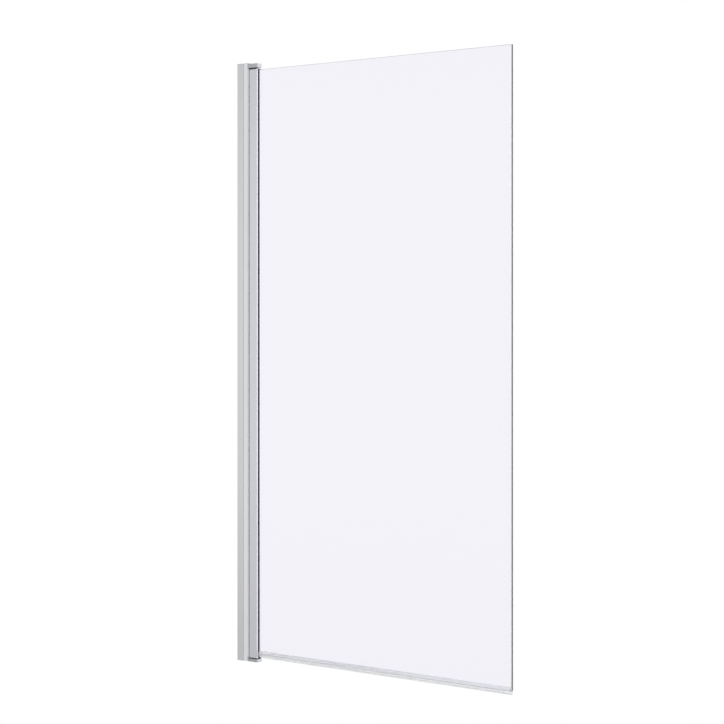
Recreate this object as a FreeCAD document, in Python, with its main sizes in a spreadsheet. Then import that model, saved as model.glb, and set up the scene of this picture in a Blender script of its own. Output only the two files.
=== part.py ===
import FreeCAD, Part
import math
import os

import Sketcher
from FreeCAD import Placement, Rotation, Vector

# A pivoting bath screen: one sheet of glass in a slim post that turns on two pins beside a wall profile.
# X runs from the wall along the glass, Y across it with the front at -Y, and Z up.
# The origin is on the wall face, at the foot of the wall channel, in the middle of its depth.

DRIVING_SIZES = {
    # the whole screen
    "overall_width": 800.0,
    "overall_height": 1400.0,
    # the glass
    "glass_thickness": 8.0,
    "glass_arris": 0.6,
    "glass_bevel": 3.2,
    "glass_top_drop": 1.0,
    "glass_bottom_lift": 8.4,
    # the channel that is screwed to the wall
    "channel_depth": 22.0,
    "channel_reach": 19.0,
    "channel_wall": 1.5,
    "channel_back": 2.0,
    "channel_lip_radius": 0.5,
    "wall_hole_diameter": 5.0,
    "wall_hole_spacing": 410.0,
    "wall_hole_count": 4,
    # the adjuster that slides in the channel to take up a wall out of true
    "slide_clearance": 0.15,
    "adjuster_front": 31.0,
    "adjuster_length": 27.0,
    "adjuster_wall": 1.4,
    "adjuster_end_wall": 1.6,
    "adjuster_chamber": 12.4,
    "adjuster_corner": 2.5,
    "notch_clearance": 0.2,
    "fit_clearance": 0.1,
    # the cover on the profile's top end
    "cover_thickness": 1.2,
    "cover_plug_depth": 5.0,
    # the soft strip between the adjuster and the turning post
    "gap_seal_foot": 3.0,
    "gap_seal_seat": 0.9,
    "gap_seal_width": 13.0,
    "gap_seal_clearance": 0.3,
    # the post
    "pivot_gap": 1.5,
    "post_depth": 17.0,
    "post_width": 28.5,
    "post_wall": 1.6,
    "post_web": 1.5,
    "post_pocket": 10.0,
    "post_lip": 1.6,
    "post_corner": 0.6,
    # the gaskets that hold the glass in the post
    "gasket_thickness": 0.5,
    "gasket_bead": 0.5,
    "gasket_bead_edge": 0.3,
    "gasket_heel": 6.6,
    "gasket_foot": 3.0,
    # the blocks that the glass stands on and against in the post
    "spacer_thickness": 1.5,
    "spacer_height": 40.0,
    "spacer_margin": 250.0,
    "block_inset": 0.6,
    # the brackets above and below the post
    "top_bracket_height": 9.6,
    "bottom_bracket_height": 7.0,
    "bracket_depth": 17.4,
    "bracket_drop": 2.0,
    "bracket_gap": 1.0,
    "bracket_overhang": 0.5,
    "bracket_tongue": 24.0,
    "bracket_corner": 2.0,
    "bracket_edge": 1.2,
    "bracket_top_gap": 2.8,
    # the pins, the plugs that turn on them and the washers between plugs and brackets
    "pin_diameter": 6.0,
    "pin_clearance": 0.05,
    "pin_seat": 5.4,
    "pin_reach": 16.0,
    "pin_chamfer": 0.6,
    "plug_flange": 1.2,
    "plug_flange_inset": 0.2,
    "plug_depth": 20.0,
    "washer_diameter": 16.0,
    "washer_thickness": 1.4,
    # the clear seal along the glass's lower edge
    "seal_wall": 1.1,
    "seal_leg": 8.5,
    "seal_web": 1.6,
    "seal_skirt": 0.8,
    "seal_start_gap": 0.3,
    "seal_end_inset": 0.5,
    # the screws
    "screw_diameter": 3.5,
    "screw_length": 9.5,
    "screw_point": 2.0,
    "screw_clearance": 0.1,
    "screw_hole_spare": 1.0,
    "recess_width": 0.9,
    "recess_span": 3.6,
    "recess_depth": 1.1,
    "bracket_screw_head": 6.8,
    "bracket_screw_rise": 2.2,
    "bracket_screw_place": 17.0,
    "locking_screw_place": 11.0,
    "locking_screw_spacing": 410.0,
    "locking_screw_count": 3,
    "locking_screw_head": 7.0,
    "cup_diameter": 10.0,
    "cup_taper": 0.4,
    "cap_wall": 0.8,
    "cap_skirt": 2.4,
    "cap_dome": 1.6,
    "cap_gap": 0.4,
}

FULL_TURN = 360.0
QUARTER_TURN = 90.0
NEARLY_ZERO = 1e-9
NEARLY = 1e-4


class Size:
    """A length that knows its number and the sheet formula that gives it."""

    def __init__(self, number, formula):
        self.number = float(number)
        self.formula = formula

    def __add__(self, other):
        other = as_size(other)
        return Size(self.number + other.number, f"({self.formula} + {other.formula})")

    def __sub__(self, other):
        other = as_size(other)
        return Size(self.number - other.number, f"({self.formula} - {other.formula})")

    def __mul__(self, other):
        other = as_size(other)
        return Size(self.number * other.number, f"({self.formula} * {other.formula})")

    def __truediv__(self, other):
        other = as_size(other)
        return Size(self.number / other.number, f"({self.formula} / {other.formula})")

    def __neg__(self):
        return Size(-self.number, f"(0 - {self.formula})")


def as_size(value):
    """A plain number as a Size, and a Size as it is."""
    if isinstance(value, Size):
        return value
    return Size(value, str(value))


ZERO = Size(0.0, "0")


class Arc:
    """A side of an outline that runs round a centre."""

    def __init__(self, centre_x, centre_y, anticlockwise):
        self.centre_x = as_size(centre_x)
        self.centre_y = as_size(centre_y)
        self.anticlockwise = anticlockwise


class SizeSheet:
    """The spreadsheet of driving sizes, read as attributes."""

    def __init__(self, document):
        self.sheet = document.addObject("Spreadsheet::Sheet", "Sizes")
        for row, (alias, number) in enumerate(DRIVING_SIZES.items(), start=1):
            self.sheet.set(f"A{row}", alias)
            self.sheet.set(f"B{row}", str(number))
            self.sheet.setAlias(f"B{row}", alias)
        document.recompute()

    def __getattr__(self, alias):
        return Size(self.sheet.get(alias), f"Sizes.{alias}")


class Screen:
    """The places in the screen that several pieces share, worked out from the driving sizes."""

    def __init__(self, size):
        # the wall profile
        self.channel_half = size.channel_depth / 2
        self.profile_top = size.overall_height - size.cover_thickness
        self.channel_inside = self.channel_half - size.channel_wall
        self.adjuster_half = self.channel_inside - size.slide_clearance
        self.adjuster_inside = self.adjuster_half - size.adjuster_wall
        self.adjuster_back = size.adjuster_front - size.adjuster_length
        self.chamber_front = size.adjuster_front - size.adjuster_end_wall
        self.chamber_back = self.chamber_front - size.adjuster_chamber
        self.web_back = self.chamber_back - size.adjuster_wall
        # the post and its pivot
        self.post_half = size.post_depth / 2
        self.post_start = size.adjuster_front + size.pivot_gap
        self.pivot_x = self.post_start + self.post_half
        self.post_end = self.post_start + size.post_width
        self.post_inside = self.post_half - size.post_wall
        self.pocket_start = self.post_end - size.post_pocket
        self.chamber_end = self.pocket_start - size.post_web
        self.glass_half = size.glass_thickness / 2
        self.lip_edge = self.glass_half + size.gasket_thickness
        self.lip_back = self.post_end - size.post_lip
        # heights, from the bottom up and from the top down
        self.washer_top = size.bottom_bracket_height + size.washer_thickness
        self.post_bottom = self.washer_top + size.plug_flange
        self.bracket_top = size.overall_height - size.bracket_drop
        self.bracket_underside = self.bracket_top - size.top_bracket_height
        self.top_flange = self.bracket_underside - size.bracket_top_gap
        self.post_top = self.top_flange - size.plug_flange
        self.glass_bottom = self.post_bottom + size.glass_bottom_lift
        self.glass_top = self.post_top - size.glass_top_drop
        self.glass_start = self.pocket_start + size.spacer_thickness
        # the brackets
        self.bracket_half = size.bracket_depth / 2
        self.bracket_start = size.adjuster_front + size.bracket_gap
        self.bracket_end = self.post_end + size.bracket_overhang
        self.tongue_half = self.adjuster_inside - size.fit_clearance
        self.tongue_back = self.chamber_back + size.fit_clearance
        self.tongue_front = self.chamber_front - size.fit_clearance
        self.low_notch_top = size.bottom_bracket_height + size.notch_clearance
        self.high_notch_foot = self.bracket_underside - size.notch_clearance
        # the screws, which all go in from the rear
        self.screw_radius = size.screw_diameter / 2
        self.tongue_middle = (self.tongue_back + self.tongue_front) / 2
        self.bracket_screw_low = size.bracket_screw_place
        self.bracket_screw_high = self.bracket_top - size.bracket_screw_place
        run = size.locking_screw_spacing * (size.locking_screw_count - 1)
        self.locking_screw_low = (size.overall_height - run) / 2
        holes = size.wall_hole_spacing * (size.wall_hole_count - 1)
        self.wall_hole_low = (size.overall_height - holes) / 2
        self.locking_head_rise = (size.locking_screw_head - size.screw_diameter) / 2


# ---- sketches and features ----


def bind(target, path, size):
    """Let a property follow the sheet."""
    target.setExpression(path, as_size(size).formula)


def new_body(document, name, rise=ZERO):
    """A body with its own label, standing at a height."""
    body = document.addObject("PartDesign::Body", name)
    body.Label = name
    body.Placement = Placement(Vector(0, 0, rise.number), Rotation())
    bind(body, "Placement.Base.z", rise)
    return body


def origin_feature(body, role):
    """One of a body's own origin planes or axes."""
    return next(feature for feature in body.Origin.OriginFeatures if feature.Role == role)


def new_sketch(body, name, plane="XY_Plane", offset=ZERO):
    """A sketch on one of the body's origin planes, moved along the plane's normal."""
    sketch = body.newObject("Sketcher::SketchObject", name)
    sketch.AttachmentSupport = [(origin_feature(body, plane), "")]
    sketch.MapMode = "FlatFace"
    sketch.AttachmentOffset = Placement(Vector(0, 0, offset.number), Rotation())
    bind(sketch, "AttachmentOffset.Base.z", offset)
    return sketch


def hold_point(sketch, geometry, point, coordinate, axis):
    """Hold one coordinate of a sketch point at a size from the sketch's origin."""
    kind = "DistanceX" if axis == "x" else "DistanceY"
    if abs(coordinate.number) < NEARLY_ZERO:
        line = -2 if axis == "x" else -1
        sketch.addConstraint(Sketcher.Constraint("PointOnObject", geometry, point, line))
    elif coordinate.number > 0:
        held = Sketcher.Constraint(kind, -1, 1, geometry, point, coordinate.number)
        bind(sketch, f"Constraints[{sketch.addConstraint(held)}]", coordinate)
    else:
        held = Sketcher.Constraint(kind, geometry, point, -1, 1, -coordinate.number)
        bind(sketch, f"Constraints[{sketch.addConstraint(held)}]", -coordinate)


def add_side(sketch, start, end, arc):
    """Draw one side and give its number and the points at its two ends."""
    if arc is None:
        side = sketch.addGeometry(Part.LineSegment(start, end), False)
        return side, 1, 2
    centre = Vector(arc.centre_x.number, arc.centre_y.number, 0)
    circle = Part.Circle(centre, Vector(0, 0, 1), (start - centre).Length)
    from_start = math.atan2(start.y - centre.y, start.x - centre.x)
    from_end = math.atan2(end.y - centre.y, end.x - centre.x)
    if arc.anticlockwise:
        return sketch.addGeometry(Part.ArcOfCircle(circle, from_start, from_end), False), 1, 2
    return sketch.addGeometry(Part.ArcOfCircle(circle, from_end, from_start), False), 2, 1


def radial_axis(point, arc):
    """The axis along which an arc already holds its end."""
    across = abs(point.x - arc.centre_x.number)
    along = abs(point.y - arc.centre_y.number)
    return "y" if across < along else "x"


def add_outline(sketch, corners, arcs=None):
    """Draw a closed outline through its corners; arcs names the sides that are round by their first corner."""
    arcs = arcs or {}
    corners = [(as_size(x), as_size(y)) for x, y in corners]
    points = [Vector(x.number, y.number, 0) for x, y in corners]
    count = len(corners)
    sides = [add_side(sketch, points[i], points[(i + 1) % count], arcs.get(i)) for i in range(count)]
    for i, (side, first, last) in enumerate(sides):
        following, following_first, _ = sides[(i + 1) % count]
        sketch.addConstraint(Sketcher.Constraint("Coincident", side, last, following, following_first))
    for i, (side, first, last) in enumerate(sides):
        arriving = arcs.get((i - 1) % count)
        given = radial_axis(points[i], arriving) if arriving else None
        if given != "x":
            hold_point(sketch, side, first, corners[i][0], "x")
        if given != "y":
            hold_point(sketch, side, first, corners[i][1], "y")
        if i in arcs:
            hold_point(sketch, side, 3, arcs[i].centre_x, "x")
            hold_point(sketch, side, 3, arcs[i].centre_y, "y")


def add_box_outline(sketch, low_x, high_x, low_y, high_y):
    """Draw a rectangle."""
    add_outline(sketch, [(low_x, low_y), (high_x, low_y), (high_x, high_y), (low_x, high_y)])


def add_circle(sketch, x, y, radius):
    """Draw a circle and hold its centre and radius."""
    x, y, radius = as_size(x), as_size(y), as_size(radius)
    centre = Vector(x.number, y.number, 0)
    circle = sketch.addGeometry(Part.Circle(centre, Vector(0, 0, 1), radius.number), False)
    hold_point(sketch, circle, 3, x, "x")
    hold_point(sketch, circle, 3, y, "y")
    constraint = sketch.addConstraint(Sketcher.Constraint("Radius", circle, radius.number))
    bind(sketch, f"Constraints[{constraint}]", radius)


def pad(body, sketch, length, downwards=False):
    """Extrude a sketch along its plane's normal, or against it."""
    feature = body.newObject("PartDesign::Pad", f"{sketch.Name}_pad")
    feature.Profile = sketch
    feature.Reversed = downwards
    feature.Length = length.number
    bind(feature, "Length", length)
    return feature


def pocket(body, sketch, length=None, along_normal=False):
    """Cut a sketch against its plane's normal, or along it, to a depth or through all."""
    feature = body.newObject("PartDesign::Pocket", f"{sketch.Name}_cut")
    feature.Profile = sketch
    feature.Reversed = along_normal
    if length is None:
        feature.Type = "ThroughAll"
    else:
        feature.Length = length.number
        bind(feature, "Length", length)
    return feature


def revolve(body, sketch):
    """Turn a half section about the sketch's upright axis."""
    feature = body.newObject("PartDesign::Revolution", f"{sketch.Name}_turned")
    feature.Profile = sketch
    feature.ReferenceAxis = (sketch, ["V_Axis"])
    feature.Angle = FULL_TURN
    return feature


def repeat(body, features, axis, spacing, count):
    """Repeat features along one of the body's origin axes."""
    pattern = body.newObject("PartDesign::LinearPattern", f"{features[0].Name}_row")
    pattern.Originals = features
    pattern.Direction = (origin_feature(body, axis), [""])
    run = spacing * (count - 1)
    pattern.Length = run.number
    pattern.Occurrences = int(count.number)
    bind(pattern, "Length", run)
    bind(pattern, "Occurrences", count)
    body.Tip = pattern
    return pattern


def edge_names(feature, wanted):
    """The names of a feature's edges that pass a test."""
    edges = enumerate(feature.Shape.Edges, start=1)
    return [f"Edge{number}" for number, edge in edges if wanted(edge)]


def soften(body, feature, kind, wanted, size):
    """Fillet or chamfer the edges of a feature that pass a test."""
    body.Document.recompute()
    softened = body.newObject(f"PartDesign::{kind}", f"{feature.Name}_{kind.lower()}")
    softened.Base = (feature, edge_names(feature, wanted))
    path = "Radius" if kind == "Fillet" else "Size"
    setattr(softened, path, size.number)
    bind(softened, path, size)
    return softened


def runs_upright(edge):
    """Whether an edge is a straight line along Z."""
    box = edge.BoundBox
    return box.XLength < NEARLY_ZERO and box.YLength < NEARLY_ZERO and box.ZLength > 0


def stands_at(edge, x, y):
    """Whether an upright edge passes a place in plan, given with either sign of Y."""
    box = edge.BoundBox
    return runs_upright(edge) and abs(box.XMin - x.number) < NEARLY and abs(abs(box.YMin) - y.number) < NEARLY


# ---- the wall side ----


def make_wall_channel(document, size, place):
    """The U channel whose back is screwed to the wall."""
    body = new_body(document, "wall_channel")
    section = new_sketch(body, "channel_section")
    half, inside, back, reach = place.channel_half, place.channel_inside, size.channel_back, size.channel_reach
    add_outline(section, [(ZERO, -half), (reach, -half), (reach, -inside), (back, -inside),
                          (back, inside), (reach, inside), (reach, half), (ZERO, half)])
    extrusion = pad(body, section, place.profile_top)
    soften(body, extrusion, "Fillet", lambda edge: stands_at(edge, reach, half), size.channel_lip_radius)

    wall_hole = new_sketch(body, "wall_hole", "YZ_Plane")
    add_circle(wall_hole, ZERO, place.wall_hole_low, size.wall_hole_diameter / 2)
    first_hole = pocket(body, wall_hole, back, along_normal=True)
    repeat(body, [first_hole], "Z_Axis", size.wall_hole_spacing, size.wall_hole_count)

    clear_hole = new_sketch(body, "channel_screw_hole", "XZ_Plane")
    radius = place.screw_radius + size.screw_clearance
    add_circle(clear_hole, size.locking_screw_place, place.locking_screw_low, radius)
    first_clear = pocket(body, clear_hole)
    repeat(body, [first_clear], "Z_Axis", size.locking_screw_spacing, size.locking_screw_count)
    return body


def make_adjuster_profile(document, size, place):
    """The extrusion that slides in the channel, closed towards the post and notched for the brackets."""
    body = new_body(document, "adjuster_profile")
    half, inside, front = place.adjuster_half, place.adjuster_inside, size.adjuster_front
    corner, groove = size.adjuster_corner, size.gap_seal_foot / 2
    groove_floor = front - size.gap_seal_seat
    section = new_sketch(body, "adjuster_section")
    corners = [(place.adjuster_back, -half), (front - corner, -half), (front, corner - half),
               (front, -groove), (groove_floor, -groove), (groove_floor, groove), (front, groove),
               (front, half - corner), (front - corner, half), (place.adjuster_back, half),
               (place.adjuster_back, inside), (place.web_back, inside),
               (place.web_back, -inside), (place.adjuster_back, -inside)]
    arcs = {1: Arc(front - corner, corner - half, True), 7: Arc(front - corner, half - corner, True)}
    add_outline(section, corners, arcs)
    add_box_outline(section, place.chamber_back, place.chamber_front, -inside, inside)
    pad(body, section, place.profile_top)

    low_notch = new_sketch(body, "low_notch")
    add_box_outline(low_notch, place.chamber_front, front, -inside, inside)
    pocket(body, low_notch, place.low_notch_top, along_normal=True)
    high_notch = new_sketch(body, "high_notch", offset=place.profile_top)
    add_box_outline(high_notch, place.chamber_front, front, -inside, inside)
    pocket(body, high_notch, place.profile_top - place.high_notch_foot)

    bracket_holes = new_sketch(body, "adjuster_bracket_holes", "XZ_Plane")
    for height in (place.bracket_screw_low, place.bracket_screw_high):
        add_circle(bracket_holes, place.tongue_middle, height, place.screw_radius + size.screw_clearance)
    pocket(body, bracket_holes)
    pilot = new_sketch(body, "adjuster_pilot_hole", "XZ_Plane")
    add_circle(pilot, size.locking_screw_place, place.locking_screw_low, place.screw_radius)
    first_pilot = pocket(body, pilot)
    repeat(body, [first_pilot], "Z_Axis", size.locking_screw_spacing, size.locking_screw_count)
    return body


def make_top_cover(document, size, place):
    """The moulded cover that closes the top end of the wall profile."""
    body = new_body(document, "wall_profile_top_cover", place.profile_top)
    half, inner = place.channel_half, place.adjuster_half
    reach, front, corner = size.channel_reach, size.adjuster_front, size.adjuster_corner
    plate = new_sketch(body, "cover_plate")
    corners = [(ZERO, -half), (reach, -half), (reach, -inner), (front - corner, -inner), (front, corner - inner),
               (front, inner - corner), (front - corner, inner), (reach, inner), (reach, half), (ZERO, half)]
    add_outline(plate, corners, {3: Arc(front - corner, corner - inner, True),
                                 5: Arc(front - corner, inner - corner, True)})
    pad(body, plate, size.cover_thickness)
    tongue = new_sketch(body, "cover_plug")
    add_box_outline(tongue, place.adjuster_back, place.web_back - size.fit_clearance,
                    -place.tongue_half, place.tongue_half)
    pad(body, tongue, size.cover_plug_depth, downwards=True)
    return body


def make_gap_seal(document, size, place):
    """The soft strip on the adjuster's end wall, held by a foot, that the round side of the post wipes past."""
    body = new_body(document, "hinge_gap_seal", place.low_notch_top)
    section = new_sketch(body, "gap_seal_section")
    foot, half, wall = size.gap_seal_foot / 2, size.gap_seal_width / 2, size.adjuster_front
    foot_end, face = wall - size.gap_seal_seat, place.post_start - size.gap_seal_clearance
    add_outline(section, [(foot_end, -foot), (wall, -foot), (wall, -half), (face, -half),
                          (face, half), (wall, half), (wall, foot), (foot_end, foot)])
    pad(body, section, place.high_notch_foot - place.low_notch_top)
    return body


def make_bracket(document, size, place, name, at_top):
    """A cast bracket: a block over the post's end, and a tongue held inside the adjuster."""
    body = new_body(document, name, place.bracket_top if at_top else ZERO)
    block_start, block_end, half = place.bracket_start, place.bracket_end, place.bracket_half
    height = size.top_bracket_height if at_top else size.bottom_bracket_height
    narrow = place.tongue_half
    plan = new_sketch(body, f"{name}_plan")
    add_outline(plan, [(place.tongue_back, -narrow), (block_start, -narrow), (block_start, -half),
                       (block_end, -half), (block_end, half), (block_start, half),
                       (block_start, narrow), (place.tongue_back, narrow)])
    block = pad(body, plan, height, downwards=at_top)
    rounded = soften(body, block, "Fillet", lambda edge: stands_at(edge, block_end, half), size.bracket_corner)

    def on_outer_rim(edge):
        box = edge.BoundBox
        on_outer_face = box.ZLength < NEARLY_ZERO and abs(box.ZMin) < NEARLY_ZERO
        return on_outer_face and box.XMin > block_start.number - NEARLY and box.XMax > block_start.number + NEARLY

    soften(body, rounded, "Fillet", on_outer_rim, size.bracket_edge)
    tongue = new_sketch(body, f"{name}_tongue")
    add_box_outline(tongue, place.tongue_back, place.tongue_front, -narrow, narrow)
    pad(body, tongue, size.bracket_tongue, downwards=at_top)

    inner_face = -height if at_top else height
    pin_hole = new_sketch(body, f"{name}_pin_hole", offset=inner_face)
    add_circle(pin_hole, place.pivot_x, ZERO, size.pin_diameter / 2)
    pocket(body, pin_hole, size.pin_seat, along_normal=at_top)
    hole_bottom = size.screw_length - place.adjuster_half + size.screw_hole_spare
    screw_hole = new_sketch(body, f"{name}_screw_hole", "XZ_Plane", offset=hole_bottom)
    screw_place = -size.bracket_screw_place if at_top else size.bracket_screw_place
    add_circle(screw_hole, place.tongue_middle, screw_place, place.screw_radius)
    pocket(body, screw_hole)
    return body


def make_pin(document, size, place, name, foot):
    """A plain steel pin, chamfered at both ends."""
    body = new_body(document, name, foot)
    section = new_sketch(body, f"{name}_section")
    add_circle(section, place.pivot_x, ZERO, size.pin_diameter / 2)
    return soften_pin(body, pad(body, section, pin_length(size)), size)


def pin_length(size):
    """The seat in the bracket, the washer or gap and flange, and the reach into the post."""
    return size.pin_seat + size.pin_reach


def soften_pin(body, rod, size):
    """Chamfer a pin's two rims."""
    soften(body, rod, "Chamfer", lambda edge: edge.BoundBox.ZLength < NEARLY_ZERO, size.pin_chamfer)
    return body


def make_washer(document, size, place, name, foot):
    """A slippery washer round a pin: the bottom one carries the post, the top one lies on the upper plug."""
    body = new_body(document, name, foot)
    section = new_sketch(body, f"{name}_section")
    add_circle(section, place.pivot_x, ZERO, size.washer_diameter / 2)
    add_circle(section, place.pivot_x, ZERO, size.pin_diameter / 2 + size.pin_clearance)
    pad(body, section, size.washer_thickness)
    return body


# ---- the screws, which lie along Y with their heads to the rear ----


def rear_body(document, name, x, rear_face, z):
    """A body whose own Z points forwards from the rear face, and whose own Y points up."""
    body = document.addObject("PartDesign::Body", name)
    body.Label = name
    turned = Rotation(Vector(1, 0, 0), QUARTER_TURN)
    body.Placement = Placement(Vector(x.number, rear_face.number, z.number), turned)
    bind(body, "Placement.Base.x", x)
    bind(body, "Placement.Base.y", rear_face)
    bind(body, "Placement.Base.z", z)
    return body


def cut_recess(body, size, name, head_top):
    """The cross recess in a screw head."""
    arm, slot = size.recess_span / 2, size.recess_width / 2
    recess = new_sketch(body, f"{name}_recess", offset=-head_top)
    add_outline(recess, [(arm, slot), (slot, slot), (slot, arm), (-slot, arm), (-slot, slot), (-arm, slot),
                         (-arm, -slot), (-slot, -slot), (-slot, -arm), (slot, -arm), (slot, -slot),
                         (arm, -slot)])
    return pocket(body, recess, size.recess_depth, along_normal=True)


def make_bracket_screws(document, size, place):
    """The two screws that hold the bracket tongues in the adjuster."""
    body = rear_body(document, "bracket_screws", place.tongue_middle, place.adjuster_half, place.bracket_screw_low)
    head, shank, rise = size.bracket_screw_head / 2, place.screw_radius, size.bracket_screw_rise
    tip, shoulder = size.screw_length, size.screw_length - size.screw_point
    section = new_sketch(body, "bracket_screw_section", "XZ_Plane")
    add_outline(section, [(ZERO, -rise), (head, -rise), (head, ZERO), (shank, ZERO), (shank, shoulder), (ZERO, tip)])
    screw = revolve(body, section)
    recess = cut_recess(body, size, "bracket_screw", rise)
    apart = place.bracket_screw_high - place.bracket_screw_low
    repeat(body, [screw, recess], "Y_Axis", apart, Size(2, "2"))
    return body


def make_adjuster_screws(document, size, place):
    """The countersunk screws that lock the adjuster in the channel."""
    body = rear_body(document, "adjuster_screws", size.locking_screw_place, place.channel_half,
                     place.locking_screw_low)
    head, shank, rise = size.locking_screw_head / 2, place.screw_radius, place.locking_head_rise
    tip, shoulder = size.screw_length, size.screw_length - size.screw_point
    section = new_sketch(body, "locking_screw_section", "XZ_Plane")
    add_outline(section, [(ZERO, -rise), (head, -rise), (shank, ZERO), (shank, shoulder), (ZERO, tip)])
    screw = revolve(body, section)
    recess = cut_recess(body, size, "locking_screw", rise)
    repeat(body, [screw, recess], "Y_Axis", size.locking_screw_spacing, size.locking_screw_count)
    return body


def make_cup_washers(document, size, place):
    """The cup under each locking screw's head."""
    body = rear_body(document, "screw_cup_washers", size.locking_screw_place, place.channel_half,
                     place.locking_screw_low)
    rise, outer, gap = place.locking_head_rise, size.cup_diameter / 2, size.screw_clearance
    hole, mouth = place.screw_radius + gap, size.locking_screw_head / 2 + gap
    section = new_sketch(body, "cup_section", "XZ_Plane")
    add_outline(section, [(hole, ZERO), (outer, ZERO), (outer - size.cup_taper, -rise), (mouth, -rise)])
    cup = revolve(body, section)
    repeat(body, [cup], "Y_Axis", size.locking_screw_spacing, size.locking_screw_count)
    return body


def dome_centre(base, radius, rise):
    """The height of the centre of a dome of a given base radius and rise."""
    return base - rise + (radius * radius + rise * rise) / (rise * 2)


def make_cover_caps(document, size, place):
    """The domed cap that snaps over each cup."""
    body = rear_body(document, "screw_cover_caps", size.locking_screw_place, place.channel_half,
                     place.locking_screw_low)
    inner = size.cup_diameter / 2
    outer = inner + size.cap_wall
    skirt, rise = -size.cap_skirt, size.cap_dome
    ceiling_base = -place.locking_head_rise - size.cap_gap
    ceiling_rise = rise - size.cap_wall + size.cap_skirt + ceiling_base
    section = new_sketch(body, "cap_section", "XZ_Plane")
    corners = [(inner, ZERO), (outer, ZERO), (outer, skirt), (ZERO, skirt - rise),
               (ZERO, ceiling_base - ceiling_rise), (inner, ceiling_base)]
    arcs = {2: Arc(ZERO, dome_centre(skirt, outer, rise), False),
            4: Arc(ZERO, dome_centre(ceiling_base, inner, ceiling_rise), True)}
    add_outline(section, corners, arcs)
    cap = revolve(body, section)
    repeat(body, [cap], "Y_Axis", size.locking_screw_spacing, size.locking_screw_count)
    return body


# ---- the turning side ----


def make_pivot_post(document, size, place):
    """The post extrusion: a round chamber for the pivot and a pocket for the glass."""
    body = new_body(document, "pivot_post", place.post_bottom)
    pivot, half, end, inside = place.pivot_x, place.post_half, place.post_end, place.post_inside
    lip_edge, lip_back, floor = place.lip_edge, place.lip_back, place.pocket_start
    section = new_sketch(body, "post_section")
    outside = [(pivot, -half), (pivot, half), (end, half), (end, lip_edge), (lip_back, lip_edge),
               (lip_back, inside), (floor, inside), (floor, -inside), (lip_back, -inside),
               (lip_back, -lip_edge), (end, -lip_edge), (end, -half)]
    add_outline(section, outside, {0: Arc(pivot, ZERO, False)})
    chamber = [(pivot, -inside), (pivot, inside), (place.chamber_end, inside), (place.chamber_end, -inside)]
    add_outline(section, chamber, {0: Arc(pivot, ZERO, False)})
    extrusion = pad(body, section, place.post_top - place.post_bottom)
    soften(body, extrusion, "Fillet", lambda edge: stands_at(edge, end, half), size.post_corner)
    return body


def make_pivot_plug(document, size, place, name, at_top):
    """The moulded plug that closes an end of the post and turns on the pin."""
    body = new_body(document, name, place.post_top if at_top else place.post_bottom)
    pivot, inset = place.pivot_x, size.plug_flange_inset
    half, end = place.post_half - inset, place.post_end - inset
    flange = new_sketch(body, f"{name}_flange")
    add_outline(flange, [(pivot, -half), (pivot, half), (end, half), (end, -half)], {0: Arc(pivot, ZERO, False)})
    pad(body, flange, size.plug_flange, downwards=not at_top)
    boss = new_sketch(body, f"{name}_boss")
    narrow, boss_end = place.post_inside - size.fit_clearance, place.chamber_end - size.fit_clearance
    add_outline(boss, [(pivot, -narrow), (pivot, narrow), (boss_end, narrow), (boss_end, -narrow)],
                {0: Arc(pivot, ZERO, False)})
    pad(body, boss, size.plug_depth, downwards=at_top)
    bore = new_sketch(body, f"{name}_bore", offset=-size.plug_depth if at_top else size.plug_depth)
    add_circle(bore, pivot, ZERO, size.pin_diameter / 2 + size.pin_clearance)
    pocket(body, bore, size.plug_depth + size.plug_flange, along_normal=at_top)
    return body


def make_glass_panel(document, size, place):
    """The toughened glass, with a bevel down the front of its free end and a ground arris along every edge."""
    body = new_body(document, "glass_panel", place.glass_bottom)
    start, free, half, bevel = place.glass_start, size.overall_width, place.glass_half, size.glass_bevel
    section = new_sketch(body, "glass_section")
    add_outline(section, [(start, -half), (free - bevel, -half), (free, bevel - half), (free, half), (start, half)])
    sheet = pad(body, section, place.glass_top - place.glass_bottom)
    soften(body, sheet, "Chamfer", lambda edge: True, size.glass_arris)
    return body


def make_gasket(document, size, place, name, side):
    """A glazing gasket on one side of the glass: heel and foot in the pocket, bead outside the lip."""
    body = new_body(document, name, place.post_bottom)
    face, lip = place.glass_half, place.lip_edge
    foot_face = place.post_inside - size.fit_clearance
    foot_front = place.lip_back - size.fit_clearance
    foot_back = foot_front - size.gasket_foot
    heel = place.post_end - size.gasket_heel
    bead = place.post_end + size.gasket_bead
    bead_face = face + size.gasket_bead_edge
    section = new_sketch(body, f"{name}_section")
    corners = [(heel, face), (bead, face), (bead, bead_face), (place.post_end, lip), (foot_front, lip),
               (foot_front, foot_face), (foot_back, foot_face), (heel, lip)]
    add_outline(section, [(x, y if side > 0 else -y) for x, y in corners])
    pad(body, section, place.post_top - place.post_bottom)
    return body


def make_setting_blocks(document, size, place):
    """The block that the glass stands on, and the two spacers behind its edge."""
    body = new_body(document, "glass_setting_blocks", place.post_bottom)
    foot = new_sketch(body, "setting_block")
    add_box_outline(foot, place.pocket_start, place.lip_back - size.block_inset, -place.glass_half, place.glass_half)
    pad(body, foot, size.glass_bottom_lift)
    spacer = new_sketch(body, "edge_spacer", offset=size.spacer_margin)
    add_box_outline(spacer, place.pocket_start, place.glass_start, -place.glass_half, place.glass_half)
    low_spacer = pad(body, spacer, size.spacer_height)
    apart = place.post_top - place.post_bottom - size.spacer_margin * 2 - size.spacer_height
    repeat(body, [low_spacer], "Z_Axis", apart, Size(2, "2"))
    return body


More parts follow.
